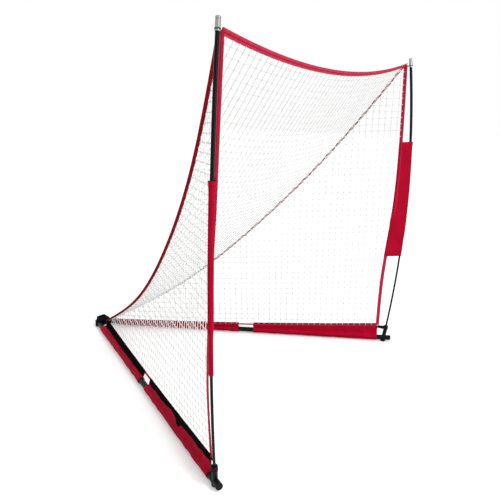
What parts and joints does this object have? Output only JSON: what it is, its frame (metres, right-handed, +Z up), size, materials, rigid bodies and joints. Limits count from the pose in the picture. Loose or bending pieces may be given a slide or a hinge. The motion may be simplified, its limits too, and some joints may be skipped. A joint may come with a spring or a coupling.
{
  "type": "portable goal net",
  "caption": "Free-standing net goal: folding V base of steel tube, two bowed posts in sockets, and a white mesh tent with red bindings.",
  "frame": {"origin": "centre of the footprint on the ground", "axes": "+X to the goal's right seen from the mouth, +Y from the mouth back to the apex, +Z up"},
  "size_m": [2.0377, 1.8504, 1.8115],
  "materials": {
    "bracket_steel": "satin black",
    "leg_steel": "satin black",
    "bolt_steel": "black zinc plated",
    "pole_steel": "gloss black",
    "rod_fibreglass": "gloss black",
    "ferrule_metal": "satin",
    "black_plastic": "matte",
    "black_rubber": "matte",
    "red_fabric": "woven, matte",
    "red_tape": "woven, matte",
    "black_webbing": "woven, matte",
    "net_cord": "knotless cord, matte",
    "pale_elastic": "elastic, matte"
  },
  "bodies": {
    "base": {"apex_bracket": "bracket_steel", "apex_strap": "black_webbing", "left_pivot_bolt": "bolt_steel", "left_pivot_nut": "bolt_steel", "right_pivot_bolt": "bolt_steel", "right_pivot_nut": "bolt_steel"},
    "left_leg": {"left_rear_tube": "leg_steel", "left_front_tube": "leg_steel", "left_pivot_bush": "bolt_steel", "left_leg_end_cap": "black_plastic", "left_pole_socket": "leg_steel", "left_socket_bush": "black_plastic", "left_rubber_foot": "black_rubber", "left_rear_sleeve": "red_fabric", "left_front_sleeve": "red_fabric", "left_rear_strip": "black_webbing", "left_front_strip": "black_webbing", "left_bottom_hem": "red_tape", "left_side_net": "net_cord", "left_back_net": "net_cord", "left_front_tape": "red_tape", "left_seam_tape": "red_tape", "left_top_tape": "red_tape", "left_corner_loop": "pale_elastic", "left_foot_strap": "black_webbing", "left_post_sleeve": "red_fabric"},
    "right_leg": {"right_rear_tube": "leg_steel", "right_front_tube": "leg_steel", "right_pivot_bush": "bolt_steel", "right_leg_end_cap": "black_plastic", "right_pole_socket": "leg_steel", "right_socket_bush": "black_plastic", "right_rubber_foot": "black_rubber", "right_rear_sleeve": "red_fabric", "right_front_sleeve": "red_fabric", "right_rear_strip": "black_webbing", "right_front_strip": "black_webbing", "right_bottom_hem": "red_tape", "right_side_net": "net_cord", "right_back_net": "net_cord", "right_front_tape": "red_tape", "right_seam_tape": "red_tape", "right_top_tape": "red_tape", "right_corner_loop": "pale_elastic", "right_foot_strap": "black_webbing", "right_post_sleeve": "red_fabric"},
    "left_pole": {"left_lower_rod": "rod_fibreglass", "left_pole_coupler": "black_plastic", "left_upper_tube": "pole_steel", "left_tip_ferrule": "ferrule_metal", "left_tip_cap": "ferrule_metal"},
    "right_pole": {"right_lower_rod": "rod_fibreglass", "right_pole_coupler": "black_plastic", "right_upper_tube": "pole_steel", "right_tip_ferrule": "ferrule_metal", "right_tip_cap": "ferrule_metal"}
  },
  "joints": [
    {"name": "left_fold", "type": "hinge", "parent": "base", "child": "left_leg", "pos_m": [-0.022, 0.90123, 0.023], "axis": [0, 0, 1], "range_deg": [0, 27], "deforming": ["left_rear_sleeve", "left_front_sleeve", "left_rear_strip", "left_front_strip", "left_bottom_hem", "left_side_net", "left_back_net", "left_front_tape", "left_seam_tape", "left_top_tape"]},
    {"name": "right_fold", "type": "hinge", "parent": "base", "child": "right_leg", "pos_m": [0.022, 0.90123, 0.023], "axis": [0, 0, -1], "range_deg": [0, 27], "deforming": ["right_rear_sleeve", "right_front_sleeve", "right_rear_strip", "right_front_strip", "right_bottom_hem", "right_side_net", "right_back_net", "right_front_tape", "right_seam_tape", "right_top_tape"]},
    {"name": "left_pole_lift", "type": "slide", "parent": "left_leg", "child": "left_pole", "axis": [-0.1687, -0.0952, 0.9811], "range_m": [0, 0.09], "deforming": ["left_post_sleeve", "left_corner_loop"]},
    {"name": "right_pole_lift", "type": "slide", "parent": "right_leg", "child": "right_pole", "axis": [0.1687, -0.0952, 0.9811], "range_m": [0, 0.09], "deforming": ["right_post_sleeve", "right_corner_loop"]}
  ]
}
